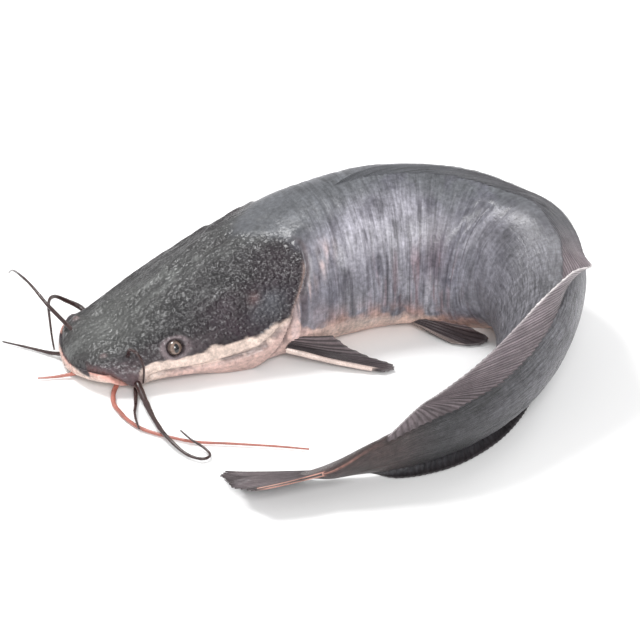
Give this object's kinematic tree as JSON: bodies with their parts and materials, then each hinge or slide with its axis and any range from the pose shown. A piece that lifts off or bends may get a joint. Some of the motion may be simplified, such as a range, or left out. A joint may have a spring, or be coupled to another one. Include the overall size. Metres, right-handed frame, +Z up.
{
  "type": "catfish",
  "caption": "Whole fresh catfish lying on its belly and curled to its left, with long back and belly fins, paired fins and face whiskers.",
  "frame": {"origin": "on the table under the trunk, on the flat patch where the belly rests", "axes": "+Z up from the table; the head lies towards -X, and the curl opens towards -X and -Y, where the tail fin comes round in front of the head"},
  "size_m": [0.2493, 0.2092, 0.0657],
  "materials": {
    "skin": "wet, smooth, slimy skin without scales; dark slate back, pale belly",
    "fin": "wet membrane over fine soft rays",
    "barbel": "wet, soft, dark red-brown",
    "eye": "wet, clear gloss"
  },
  "bodies": {
    "root": {"body": "skin", "left_eye": "eye", "right_eye": "eye", "dorsal_fin": "fin", "anal_fin": "fin", "caudal_fin": "fin", "left_pectoral_fin": "fin", "right_pectoral_fin": "fin", "left_pelvic_fin": "fin", "right_pelvic_fin": "fin", "left_nasal_barbel": "barbel", "right_nasal_barbel": "barbel", "left_maxillary_barbel": "barbel", "right_maxillary_barbel": "barbel", "left_outer_mandibular_barbel": "barbel", "right_outer_mandibular_barbel": "barbel", "left_inner_mandibular_barbel": "barbel", "right_inner_mandibular_barbel": "barbel"}
  },
  "joints": []
}
